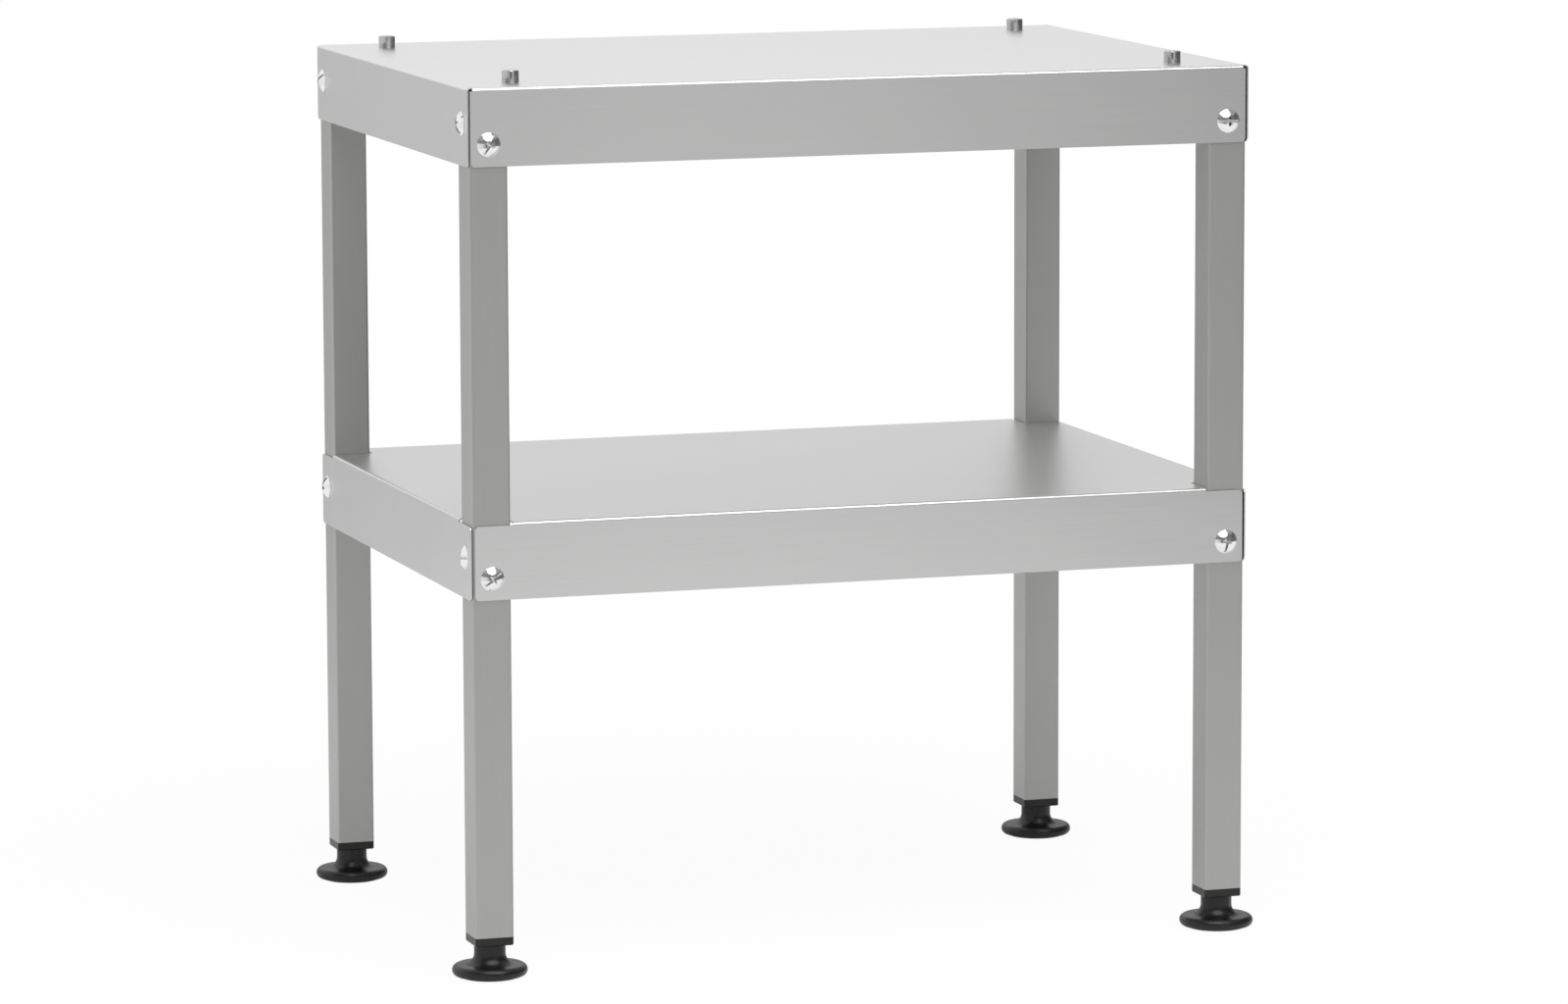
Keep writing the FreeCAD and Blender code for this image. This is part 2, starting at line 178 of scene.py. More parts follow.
def moulded_black():
    """Black polypropylene from a spark-eroded mould: a soft sheen over a fine, even dimple."""
    material, tree = empty_material("polypropylene_black_moulded")
    place = add_node(tree, "ShaderNodeTexCoord")
    dimple_size = 0.45 * MM
    dimples = add_node(tree, "ShaderNodeTexNoise", {
        "Vector": place.outputs["Object"], "Scale": 1 / dimple_size, "Detail": 2.0,
    })
    flow_size = 14 * MM
    flow = add_node(tree, "ShaderNodeTexNoise", {
        "Vector": place.outputs["Object"], "Scale": 1 / flow_size, "Detail": 2.0,
    })
    tone = add_node(tree, "ShaderNodeMix", {
        0: flow.outputs[0], 6: linear("#141415"), 7: linear("#1e1e1f"),
    }, data_type="RGBA")
    rough = add_node(tree, "ShaderNodeMapRange", {
        "Value": flow.outputs[0], "From Min": 0.3, "From Max": 0.7, "To Min": 0.26, "To Max": 0.34,
    })
    dimple_depth = 0.01 * MM
    bump = add_node(tree, "ShaderNodeBump", {
        "Height": dimples.outputs[0], "Strength": 0.6, "Distance": dimple_depth,
    })
    plastic = add_node(tree, "ShaderNodeBsdfPrincipled", {
        "Base Color": tone.outputs[2], "Roughness": rough.outputs[0], "IOR": 1.42,
        "Normal": bump.outputs[0],
    })
    add_node(tree, "ShaderNodeOutputMaterial", {"Surface": plastic.outputs[0]})
    return material


def new_piece(name, mesh, material):
    """An object at the origin for a finished mesh, with its material."""
    mesh.name = name
    mesh.materials.clear()
    mesh.materials.append(material)
    piece = bpy.data.objects.new(name, mesh)
    bpy.context.scene.collection.objects.link(piece)
    return piece


def evaluated_mesh(piece):
    """A plain mesh of what the object's modifiers make of it."""
    graph = bpy.context.evaluated_depsgraph_get()
    return bpy.data.meshes.new_from_object(piece.evaluated_get(graph), depsgraph=graph)


def softened_copy(node, name, edge, material):
    """A merged copy of a solid with its sharp edges rounded to a radius and its flat faces shaded flat."""
    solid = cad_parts[node].data
    shape = bmesh.new()
    for vertex in solid.vertices:
        shape.verts.new(vertex.co)
    shape.verts.ensure_lookup_table()
    for polygon in solid.polygons:
        shape.faces.new([shape.verts[index] for index in polygon.vertices])
    bmesh.ops.remove_doubles(shape, verts=shape.verts, dist=WELD)
    flat_angle = math.radians(0.2)
    bmesh.ops.dissolve_limit(shape, angle_limit=flat_angle, verts=shape.verts, edges=shape.edges)
    mesh = bpy.data.meshes.new(name)
    shape.to_mesh(mesh)
    shape.free()
    mesh.shade_smooth()
    piece = new_piece(name, mesh, material)
    bevel = piece.modifiers.new("rounded edges", "BEVEL")
    bevel.width = edge
    bevel.segments = 2
    bevel.angle_limit = math.radians(40)
    bevel.use_clamp_overlap = True
    normals = piece.modifiers.new("flat faces", "WEIGHTED_NORMAL")
    normals.weight = 100
    finished = evaluated_mesh(piece)
    piece.modifiers.clear()
    piece.data = finished
    bpy.data.meshes.remove(mesh)
    finished.name = name
    return piece


def stands_for(piece, node, body):
    """Puts a piece on its body in the place of a solid, and hides that solid."""
    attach(piece, body)
    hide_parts(node)


black_plastic = moulded_black()
INSERT_EDGE = 0.35 * MM
for corner in CORNERS:
    insert = softened_copy(corner + "_leg_insert", corner + "_moulded_insert", INSERT_EDGE, black_plastic)
    stands_for(insert, corner + "_leg_insert", "frame")
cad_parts["leg_insert_nuts"].material_slots[0].material = zinc

# Foot studs: lengths of 10 mm threaded rod, zinc plated, moulded into the necks of the feet. Each runs up
# through its insert into the nut, and turning the foot winds it in or out by 1.5 mm a turn.


def new_tree(name, sizes):
    """A tree of geometry nodes with a socket for each size, and its group input."""
    tree = bpy.data.node_groups.new(name, "GeometryNodeTree")
    tree.interface.new_socket("Geometry", in_out="INPUT", socket_type="NodeSocketGeometry")
    for label, kind in sizes.items():
        tree.interface.new_socket(label, in_out="INPUT", socket_type="NodeSocket" + kind)
    tree.interface.new_socket("Geometry", in_out="OUTPUT", socket_type="NodeSocketGeometry")
    return tree, add_node(tree, "NodeGroupInput")


def grown(name, tree, places, values, material, attributes=None):
    """What a tree makes at a list of places, as a plain mesh object.

    Each of the attributes has its kind and a value for each place.
    """
    points = bpy.data.meshes.new(name)
    points.from_pydata(places, [], [])
    for label, (kind, numbers) in (attributes or {}).items():
        layer = points.attributes.new(label, kind, "POINT")
        for entry, number in zip(layer.data, numbers):
            setattr(entry, "vector" if kind == "FLOAT_VECTOR" else "value", number)
    piece = new_piece(name, points, material)
    modifier = piece.modifiers.new("grown", "NODES")
    modifier.node_group = tree
    for socket in tree.interface.items_tree:
        if socket.in_out == "INPUT" and socket.name in values:
            modifier[socket.identifier] = values[socket.name]
    finished = evaluated_mesh(piece)
    piece.modifiers.clear()
    piece.data = finished
    bpy.data.meshes.remove(points)
    finished.name = name
    return piece


def threaded_rod():
    """A tree that stands a rod with a real helical thread on each point.

    A sheet of rows and columns is rolled up about Z, and each point's radius follows its place in the
    pitch. The first and last rows close the ends, which are chamfered.
    """
    tree, given = new_tree("threaded rod", {
        "Diameter": "Float", "Pitch": "Float", "Depth": "Float", "Length": "Float", "Chamfer": "Float",
        "Columns": "Int", "Rows": "Int", "Finish": "Material",
    })
    size = given.outputs
    sheet = add_node(tree, "GeometryNodeMeshGrid", {
        "Size X": 1.0, "Size Y": 1.0, "Vertices X": size["Columns"], "Vertices Y": size["Rows"],
    })
    position = add_node(tree, "GeometryNodeInputPosition")
    at = add_node(tree, "ShaderNodeSeparateXYZ", {0: position.outputs[0]})
    values = {socket.name: socket for socket in size}
    values["across"] = at.outputs["X"]
    values["along"] = at.outputs["Y"]
    crest, root = 0.12, 0.85
    steps = [
        ("turn", "ADD", "across", 0.5),
        ("last row", "SUBTRACT", "Rows", 1.0),
        ("row share", "ADD", "along", 0.5),
        ("row", "MULTIPLY", "row share", "last row"),
        ("inner row", "SUBTRACT", "row", 1.0),
        ("inner rows", "SUBTRACT", "Rows", 3.0),
        ("rise", "DIVIDE", "inner row", "inner rows"),
        ("rise from 0", "MAXIMUM", "rise", 0.0),
        ("rise to 1", "MINIMUM", "rise from 0", 1.0),
        ("height", "MULTIPLY", "rise to 1", "Length"),
        ("pitches", "DIVIDE", "height", "Pitch"),
        ("helix", "SUBTRACT", "pitches", "turn"),
        ("phase", "FRACT", "helix"),
        ("swing", "MULTIPLY_ADD", "phase", 2.0, -1.0),
        ("slope", "ABSOLUTE", "swing"),
        ("past crest", "SUBTRACT", "slope", crest),
        ("flank", "DIVIDE", "past crest", root - crest),
        ("flank from 0", "MAXIMUM", "flank", 0.0),
        ("flank to 1", "MINIMUM", "flank from 0", 1.0),
        ("cut", "MULTIPLY", "flank to 1", "Depth"),
        ("half", "MULTIPLY", "Diameter", 0.5),
        ("thread", "SUBTRACT", "half", "cut"),
        ("to top", "SUBTRACT", "Length", "height"),
        ("to end", "MINIMUM", "height", "to top"),
        ("end radius", "SUBTRACT", "half", "Chamfer"),
        ("chamfer", "ADD", "end radius", "to end"),
        ("chamfered", "MINIMUM", "thread", "chamfer"),
        ("above first", "GREATER_THAN", "row", 0.5),
        ("before last", "SUBTRACT", "last row", 0.5),
        ("below last", "LESS_THAN", "row", "before last"),
        ("open", "MULTIPLY", "above first", "below last"),
        ("radius", "MULTIPLY", "chamfered", "open"),
        ("angle", "MULTIPLY", "turn", math.tau),
        ("cosine", "COSINE", "angle"),
        ("sine", "SINE", "angle"),
        ("x", "MULTIPLY", "radius", "cosine"),
        ("y", "MULTIPLY", "radius", "sine"),
    ]
    for name, operation, *terms in steps:
        inputs = {index: values.get(term, term) for index, term in enumerate(terms)}
        values[name] = add_node(tree, "ShaderNodeMath", inputs, operation=operation).outputs[0]
    rolled = add_node(tree, "ShaderNodeCombineXYZ", {
        "X": values["x"], "Y": values["y"], "Z": values["height"],
    })
    rod = add_node(tree, "GeometryNodeSetPosition", {
        "Geometry": sheet.outputs["Mesh"], "Position": rolled.outputs[0],
    })
    closed_rod = add_node(tree, "GeometryNodeMergeByDistance", {
        "Geometry": rod.outputs[0], "Distance": WELD,
    })
    smooth = add_node(tree, "GeometryNodeSetShadeSmooth", {"Geometry": closed_rod.outputs[0]})
    stood = add_node(tree, "GeometryNodeInstanceOnPoints", {
        "Points": size["Geometry"], "Instance": smooth.outputs[0],
    })
    real = add_node(tree, "GeometryNodeRealizeInstances", {"Geometry": stood.outputs[0]})
    painted = add_node(tree, "GeometryNodeSetMaterial", {
        "Geometry": real.outputs[0], "Material": size["Finish"],
    })
    add_node(tree, "NodeGroupOutput", {"Geometry": painted.outputs[0]})
    return tree


def middle(low, high):
    """The x and y of the middle of a box."""
    return (low.x + high.x) / 2, (low.y + high.y) / 2


def thread_rows(length, pitch):
    """The rows of points along a thread, with those that close its ends."""
    rows_per_pitch = 8
    end_rows = 3
    return int(length / pitch * rows_per_pitch) + end_rows


rod_tree = threaded_rod()
THREAD_COLUMNS = 33
STUD_PITCH = 1.5 * MM
STUD_THREAD_DEPTH = 0.9 * MM
STUD_CHAMFER = 1.2 * MM
for corner in CORNERS:
    low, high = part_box(corner + "_foot_stud")
    length = high.z - low.z
    stud = grown(corner + "_threaded_stud", rod_tree, [(*middle(low, high), low.z)], {
        "Diameter": high.x - low.x, "Pitch": STUD_PITCH, "Depth": STUD_THREAD_DEPTH, "Length": length,
        "Chamfer": STUD_CHAMFER, "Columns": THREAD_COLUMNS, "Rows": thread_rows(length, STUD_PITCH),
        "Finish": zinc,
    }, zinc)
    stands_for(stud, corner + "_foot_stud", corner + "_foot")

# Foot bases: black polypropylene moulded in one piece, a disc with a full-round rim that sweeps up in a
# concave flare to a 24 mm neck. The neck holds the stud, and a recess under the disc takes the pad.
SHARP_ANGLE = math.radians(35)


def rounded_profile(corners):
    """A line of (radius, height) points from corners given as (radius, height, fillet radius)."""
    arc_step = math.radians(9)
    points = []
    for index, (x, z, fillet) in enumerate(corners):
        here = Vector((x, z))
        if fillet == 0:
            points.append(here)
            continue
        before = (Vector(corners[index - 1][:2]) - here).normalized()
        after = (Vector(corners[index + 1][:2]) - here).normalized()
        half = before.angle(after) / 2
        centre = here + (before + after).normalized() * fillet / math.sin(half)
        first = here + before * fillet / math.tan(half) - centre
        last = here + after * fillet / math.tan(half) - centre
        sweep = first.angle_signed(last)
        steps = max(3, math.ceil(abs(sweep) / arc_step))
        for step in range(steps + 1):
            points.append(centre + Matrix.Rotation(-sweep * step / steps, 2) @ first)
    return points


def turned(name, corners, place, segments, material):
    """A closed shape turned about the vertical through a place; its corners run up the outside."""
    on_axis = 1e-7
    shape = bmesh.new()
    rings = []
    for point in rounded_profile(corners):
        radius, height = point
        if radius < on_axis:
            rings.append([shape.verts.new((0, 0, height))])
            continue
        ring = []
        for index in range(segments):
            angle = math.tau * index / segments
            ring.append(shape.verts.new((radius * math.cos(angle), radius * math.sin(angle), height)))
        rings.append(ring)
    for lower, upper in zip(rings, rings[1:] + rings[:1]):
        if len(lower) == 1 and len(upper) == 1:
            continue
        for index in range(segments):
            following = (index + 1) % segments
            corners_of_face = [lower[index % len(lower)], lower[following % len(lower)],
                               upper[following % len(upper)], upper[index % len(upper)]]
            shape.faces.new(dict.fromkeys(corners_of_face))
    bmesh.ops.recalc_face_normals(shape, faces=shape.faces)
    bmesh.ops.translate(shape, verts=shape.verts, vec=place)
    mesh = bpy.data.meshes.new(name)
    shape.to_mesh(mesh)
    shape.free()
    mesh.shade_smooth()
    mesh.set_sharp_from_angle(angle=SHARP_ANGLE)
    return new_piece(name, mesh, material)


FOOT_RIM = 4.25 * MM
FOOT_FLARE = 8.5 * MM
NECK_RADIUS = 12 * MM
MOULD_EDGE = 0.4 * MM
PAD_RECESS_RADIUS = 22.8 * MM
PAD_RECESS_TOP = 3.3 * MM
SPIGOT_RADIUS = 6 * MM
STUD_HOLE_RADIUS = 5.02 * MM
STUD_HOLE_BOTTOM = 8 * MM
FOOT_SEGMENTS = 96
for corner in CORNERS:
    low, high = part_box(corner + "_foot_base")
    radius = (high.x - low.x) / 2
    disc_top = low.z + 2 * FOOT_RIM
    base = turned(corner + "_moulded_foot", [
        (0, low.z, 0), (SPIGOT_RADIUS, low.z, MOULD_EDGE), (SPIGOT_RADIUS, PAD_RECESS_TOP, 0),
        (PAD_RECESS_RADIUS, PAD_RECESS_TOP, 0), (PAD_RECESS_RADIUS, low.z, MOULD_EDGE),
        (radius, low.z, FOOT_RIM), (radius, disc_top, FOOT_RIM), (NECK_RADIUS, disc_top, FOOT_FLARE),
        (NECK_RADIUS, high.z, MOULD_EDGE), (STUD_HOLE_RADIUS, high.z, MOULD_EDGE),
        (STUD_HOLE_RADIUS, STUD_HOLE_BOTTOM, 0), (0, STUD_HOLE_BOTTOM, 0),
    ], (*middle(low, high), 0), FOOT_SEGMENTS, black_plastic)
    stands_for(base, corner + "_foot_base", corner + "_foot")

# Foot pads: flat rings of black rubber, 45 mm across and 3 mm thick, moulded with three ring grooves that
# keep the stand from sliding. Each is held on its foot's spigot, on which the foot turns.


def soft_rubber():
    """Black natural rubber: dull, a little dusty, with a fine rough skin."""
    material, tree = empty_material("rubber_black_dull")
    place = add_node(tree, "ShaderNodeTexCoord")
    skin_size = 0.3 * MM
    skin = add_node(tree, "ShaderNodeTexNoise", {
        "Vector": place.outputs["Object"], "Scale": 1 / skin_size, "Detail": 3.0,
    })
    dust_size = 8 * MM
    dust = add_node(tree, "ShaderNodeTexNoise", {
        "Vector": place.outputs["Object"], "Scale": 1 / dust_size, "Detail": 4.0,
    })
    tone = add_node(tree, "ShaderNodeMix", {
        0: dust.outputs[0], 6: linear("#101010"), 7: linear("#262625"),
    }, data_type="RGBA")
    skin_depth = 0.02 * MM
    bump = add_node(tree, "ShaderNodeBump", {
        "Height": skin.outputs[0], "Strength": 0.6, "Distance": skin_depth,
    })
    rubber = add_node(tree, "ShaderNodeBsdfPrincipled", {
        "Base Color": tone.outputs[2], "Roughness": 0.82, "IOR": 1.52, "Normal": bump.outputs[0],
    })
    add_node(tree, "ShaderNodeOutputMaterial", {"Surface": rubber.outputs[0]})
    return material


rubber = soft_rubber()
PAD_BORE = 6.05 * MM
PAD_EDGE = 0.3 * MM
GROOVE_WIDTH = 1.2 * MM
GROOVE_DEPTH = 0.7 * MM
GROOVE_RADII = (10 * MM, 14 * MM, 18 * MM)
for corner in CORNERS:
    low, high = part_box(corner + "_foot_pad")
    radius = (high.x - low.x) / 2
    tread = []
    for groove in GROOVE_RADII:
        inside = groove - GROOVE_WIDTH / 2
        outside = groove + GROOVE_WIDTH / 2
        tread += [(inside, low.z, 0), (inside, low.z + GROOVE_DEPTH, 0)]
        tread += [(outside, low.z + GROOVE_DEPTH, 0), (outside, low.z, 0)]
    pad = turned(corner + "_grooved_pad", [
        (PAD_BORE, low.z, 0), *tread, (radius, low.z, PAD_EDGE), (radius, high.z, PAD_EDGE),
        (PAD_BORE, high.z, 0),
    ], (*middle(low, high), 0), FOOT_SEGMENTS, rubber)
    stands_for(pad, corner + "_foot_pad", corner + "_pad")

# Shelves: each is one sheet of 1 mm stainless, cut and folded down on all four sides with a 2.5 mm outside
# bend. The grain of the sheet runs along the width, so it turns upright on the folded short sides.
SHEET_STREAK = (80.0, 0.7, 0.7)
SIDE_STREAK = (0.7, 0.7, 80.0)
sheet_steel = satin_stainless("stainless_sheet_satin", "#dbdbdb", "#e4e4e3", SHEET_STREAK, SIDE_STREAK, 0.3)
DEBURRED_EDGE = 0.25 * MM
for shelf in ("lower", "top"):
    sheet = softened_copy(shelf + "_shelf", shelf + "_folded_sheet", DEBURRED_EDGE, sheet_steel)
    stands_for(sheet, shelf + "_shelf", "frame")

# Shelf screws: 8 mm truss-head screws in polished stainless, two for each leg and shelf. The head is a low
# dome that was pressed with a slot right across it and a cross recess in the middle.


def polished_stainless(name, dark, light):
    """Polished stainless: a near mirror whose last buffing left faint swirls."""
    material, tree = empty_material(name)
    place = add_node(tree, "ShaderNodeTexCoord")
    swirl_size = 1.5 * MM
    swirls = add_node(tree, "ShaderNodeTexNoise", {
        "Vector": place.outputs["Object"], "Scale": 1 / swirl_size, "Detail": 4.0, "Distortion": 1.0,
    })
    tone = add_node(tree, "ShaderNodeMix", {
        0: swirls.outputs[0], 6: linear(dark), 7: linear(light),
    }, data_type="RGBA")
    rough = add_node(tree, "ShaderNodeMapRange", {
        "Value": swirls.outputs[0], "From Min": 0.3, "From Max": 0.7, "To Min": 0.07, "To Max": 0.13,
    })
    metal = add_node(tree, "ShaderNodeBsdfPrincipled", {
        "Base Color": tone.outputs[2], "Metallic": 1.0, "Roughness": rough.outputs[0],
    })
    add_node(tree, "ShaderNodeOutputMaterial", {"Surface": metal.outputs[0]})
    return material


def tapered_block(name, lower, upper, z_range):
    """A block about the Z axis from the half sizes of its lower and upper faces."""
    points = []
    for (half_x, half_y), height in zip((lower, upper), z_range):
        points += [(half_x, half_y, height), (-half_x, half_y, height),
                   (-half_x, -half_y, height), (half_x, -half_y, height)]
    walls = [(index, (index + 1) % 4, (index + 1) % 4 + 4, index + 4) for index in range(4)]
    mesh = bpy.data.meshes.new(name)
    mesh.from_pydata(points, [], [(3, 2, 1, 0), (4, 5, 6, 7), *walls])
    return new_piece(name, mesh, screw_steel)


def cut_away(piece, tools, operation="DIFFERENCE"):
    """Cuts tools out of a piece, or keeps what they share, and deletes the tools."""
    for tool in tools:
        cut = piece.modifiers.new("cut", "BOOLEAN")
        cut.operation = operation
        cut.object = tool
        cut.solver = "EXACT"
    finished = evaluated_mesh(piece)
    piece.modifiers.clear()
    piece.data = finished
    for tool in tools:
        bpy.data.meshes.remove(tool.data)


def joined(piece, other):
    """Adds another piece's mesh to a piece and deletes the other."""
    shape = bmesh.new()
    shape.from_mesh(piece.data)
    shape.from_mesh(other.data)
    shape.to_mesh(piece.data)
    shape.free()
    bpy.data.meshes.remove(other.data)


screw_steel = polished_stainless("stainless_polished_pressed", "#e8e8e8", "#f0f0f0")
SCREW_HEAD = 9.1 * MM
SCREW_DOME = 4.3 * MM
SCREW_RIM = 0.35 * MM
SCREW_RIM_HEIGHT = 0.15 * MM
SCREW_SEGMENTS = 64
SCREW_THREAD = 8 * MM
SCREW_PITCH = 1.25 * MM
SCREW_THREAD_DEPTH = 0.7 * MM
SCREW_CHAMFER = 0.8 * MM
SCREW_LENGTH = 14 * MM
SCREW_COLUMNS = 25
SCREW_ROWS = 75
SLOT_HALF_WIDTH = 1.0 * MM
SLOT_FLOOR = 1.1 * MM
RECESS_FLOOR = 0.4 * MM
RECESS_TOP = SCREW_DOME + 0.2 * MM
DOME_STEPS = 12
dome_radius = (SCREW_HEAD ** 2 + SCREW_DOME ** 2) / (2 * SCREW_DOME)
dome_centre = SCREW_DOME - dome_radius
dome_edge = math.asin(SCREW_HEAD / dome_radius)
dome = []
for step in range(DOME_STEPS):
    slope = dome_edge * step / DOME_STEPS
    dome.append((dome_radius * math.sin(slope), dome_centre + dome_radius * math.cos(slope), 0))
screw = turned("screw", [
    (0, 0, 0), (SCREW_HEAD - SCREW_RIM, 0, 0), (SCREW_HEAD, SCREW_RIM_HEIGHT, 0), *reversed(dome),
], (0, 0, 0), SCREW_SEGMENTS, screw_steel)
slot = tapered_block("slot", (2 * SCREW_HEAD, SLOT_HALF_WIDTH), (2 * SCREW_HEAD, SLOT_HALF_WIDTH),
                     (SLOT_FLOOR, 2 * SCREW_DOME))
wing_low = (1.5 * MM, 0.45 * MM)
wing_high = (4.3 * MM, 0.95 * MM)
wings = [tapered_block("wing", wing_low, wing_high, (RECESS_FLOOR, RECESS_TOP)),
         tapered_block("wing", wing_low[::-1], wing_high[::-1], (RECESS_FLOOR, RECESS_TOP))]
cut_away(screw, [slot, *wings])
screw.data.set_sharp_from_angle(angle=SHARP_ANGLE)
shank_end = SLOT_FLOOR / 4
shank = grown("shank", rod_tree, [(0, 0, -SCREW_LENGTH)], {
    "Diameter": SCREW_THREAD, "Pitch": SCREW_PITCH, "Depth": SCREW_THREAD_DEPTH,
    "Length": SCREW_LENGTH + shank_end, "Chamfer": SCREW_CHAMFER,
    "Columns": SCREW_COLUMNS, "Rows": SCREW_ROWS, "Finish": screw_steel,
}, screw_steel)
joined(screw, shank)


def fastener_set():
    """A tree that puts a fastener on each point, in its outward direction and turned by its own angle."""
    tree, given = new_tree("fastener set", {"Fastener": "Object", "Finish": "Material"})
    outward = add_node(tree, "GeometryNodeInputNamedAttribute", {
        "Name": "outward",
    }, data_type="FLOAT_VECTOR")
    turn = add_node(tree, "GeometryNodeInputNamedAttribute", {"Name": "turn"}, data_type="FLOAT")
    aimed = add_node(tree, "FunctionNodeAlignRotationToVector", {"Vector": outward.outputs[0]}, axis="Z")
    spin = add_node(tree, "FunctionNodeAxisAngleToRotation", {"Axis": (0, 0, 1), "Angle": turn.outputs[0]})
    facing = add_node(tree, "FunctionNodeRotateRotation", {
        0: aimed.outputs[0], 1: spin.outputs[0],
    }, rotation_space="LOCAL")
    one = add_node(tree, "GeometryNodeObjectInfo", {"Object": given.outputs["Fastener"]})
    put = add_node(tree, "GeometryNodeInstanceOnPoints", {
        "Points": given.outputs["Geometry"], "Instance": one.outputs["Geometry"],
        "Rotation": facing.outputs[0],
    })
    real = add_node(tree, "GeometryNodeRealizeInstances", {"Geometry": put.outputs[0]})
    painted = add_node(tree, "GeometryNodeSetMaterial", {
        "Geometry": real.outputs[0], "Material": given.outputs["Finish"],
    })
    add_node(tree, "NodeGroupOutput", {"Geometry": painted.outputs[0]})
    return tree


fastener_tree = fastener_set()
SHORT_SIDE_DROP = 27.5 * MM
LONG_SIDE_DROP = 42.5 * MM
# The angle at which each slot came to rest, in degrees, on the long sides and on the short sides
LONG_SIDE_TURNS = {"top": (59, 0, 25, 110), "lower": (35, 80, 140, 65)}
SHORT_SIDE_TURNS = {"top": (20, 75, 130, 50), "lower": (95, 10, 160, 120)}
for shelf in ("lower", "top"):
    low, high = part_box(shelf + "_shelf")
    places = []
    outwards = []
    turns = []
    for index, (corner, (sign_x, sign_y)) in enumerate(CORNERS.items()):
        leg_low, leg_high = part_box(corner + "_leg")
        leg = (leg_low + leg_high) / 2
        places.append((leg.x, sign_y * high.y, high.z - LONG_SIDE_DROP))
        outwards.append((0, sign_y, 0))
        turns.append(math.radians(LONG_SIDE_TURNS[shelf][index]))
        places.append((sign_x * high.x, leg.y, high.z - SHORT_SIDE_DROP))
        outwards.append((sign_x, 0, 0))
        turns.append(math.radians(SHORT_SIDE_TURNS[shelf][index]))
    screws = grown(shelf + "_screw_set", fastener_tree, places, {"Fastener": screw, "Finish": screw_steel},
                   screw_steel, {"outward": ("FLOAT_VECTOR", outwards), "turn": ("FLOAT", turns)})
    stands_for(screws, shelf + "_shelf_screws", "frame")
bpy.data.meshes.remove(screw.data)

# Locating pins: turned from 13 mm stainless bar and polished, with a chamfered top and a 6 mm threaded tail
# that goes down through the top shelf. A zinc-plated nut under the sheet holds each one.
pin_steel = polished_stainless("stainless_polished_turned", "#b4b4b4", "#c6c6c6")
PIN_CHAMFER = 0.6 * MM
PIN_EDGE = 0.1 * MM
PIN_SEGMENTS = 64
PIN_TAIL = 6 * MM
PIN_TAIL_CHAMFER = 0.6 * MM
PIN_TAIL_ROOT = 0.2 * MM
PIN_PITCH = 1.0 * MM
PIN_THREAD_DEPTH = 0.55 * MM
pin_places = []
for corner in CORNERS:
    low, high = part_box(corner + "_locating_pin")
    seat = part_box("top_shelf")[1].z
    radius = (high.x - low.x) / 2
    centre = middle(low, high)
    pin_places.append(centre)
    pin = turned(corner + "_turned_pin", [
        (0, seat, 0), (radius, seat, PIN_EDGE), (radius, high.z - PIN_CHAMFER, PIN_EDGE),
        (radius - PIN_CHAMFER, high.z, PIN_EDGE), (0, high.z, 0),
    ], (*centre, 0), PIN_SEGMENTS, pin_steel)
    tail_length = seat - low.z
    tail = grown("tail", rod_tree, [(*centre, low.z)], {
        "Diameter": PIN_TAIL, "Pitch": PIN_PITCH, "Depth": PIN_THREAD_DEPTH,
        "Length": tail_length + PIN_TAIL_ROOT, "Chamfer": PIN_TAIL_CHAMFER,
        "Columns": THREAD_COLUMNS, "Rows": thread_rows(tail_length, PIN_PITCH), "Finish": pin_steel,
    }, pin_steel)
    joined(pin, tail)
    stands_for(pin, corner + "_locating_pin", "frame")

NUT_ACROSS_FLATS = 10 * MM
NUT_HEIGHT = 5 * MM
NUT_BORE = 3.05 * MM
NUT_SEGMENTS = 72
# The angle at which each nut came to rest, in radians
NUT_TURNS = (0.1, 0.7, 0.3, 0.9)
nut_corner = NUT_ACROSS_FLATS / math.sqrt(3)
nut_face = NUT_ACROSS_FLATS / 2 * 0.97
nut_blank = nut_corner * 1.02
nut_chamfer = (nut_corner - NUT_ACROSS_FLATS / 2) * 0.6
nut = turned("nut", [
    (NUT_BORE, 0, 0), (nut_face, 0, 0), (nut_blank, nut_chamfer, 0),
    (nut_blank, NUT_HEIGHT - nut_chamfer, 0), (nut_face, NUT_HEIGHT, 0), (NUT_BORE, NUT_HEIGHT, 0),
], (0, 0, 0), NUT_SEGMENTS, zinc)
prism_points = []
for height in (-NUT_HEIGHT, 2 * NUT_HEIGHT):
    for index in range(6):
        angle = math.radians(60 * index + 30)
        prism_points.append((nut_corner * math.cos(angle), nut_corner * math.sin(angle), height))
prism_walls = [(index, (index + 1) % 6, (index + 1) % 6 + 6, index + 6) for index in range(6)]
prism_mesh = bpy.data.meshes.new("prism")
prism_mesh.from_pydata(prism_points, [], [(5, 4, 3, 2, 1, 0), (6, 7, 8, 9, 10, 11), *prism_walls])
cut_away(nut, [new_piece("prism", prism_mesh, zinc)], "INTERSECT")
nut.data.set_sharp_from_angle(angle=math.radians(20))
low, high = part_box("locating_pin_nuts")
pin_nuts = grown("locating_pin_nut_set", fastener_tree, [(*centre, low.z) for centre in pin_places],
                 {"Fastener": nut, "Finish": zinc}, zinc,
                 {"outward": ("FLOAT_VECTOR", [(0, 0, 1)] * len(pin_places)), "turn": ("FLOAT", NUT_TURNS)})
stands_for(pin_nuts, "locating_pin_nuts", "frame")
bpy.data.meshes.remove(nut.data)

# Studio floor: a round sheet of white paper under the stand. It takes the stand's soft shadow near the feet
# and fades into the white of the backdrop towards its edge.
FLOOR_RADIUS = 1.5
FLOOR_HEIGHT = -0.0002
FADE_END = FLOOR_RADIUS * 0.95
WHITE = linear("#ffffff")


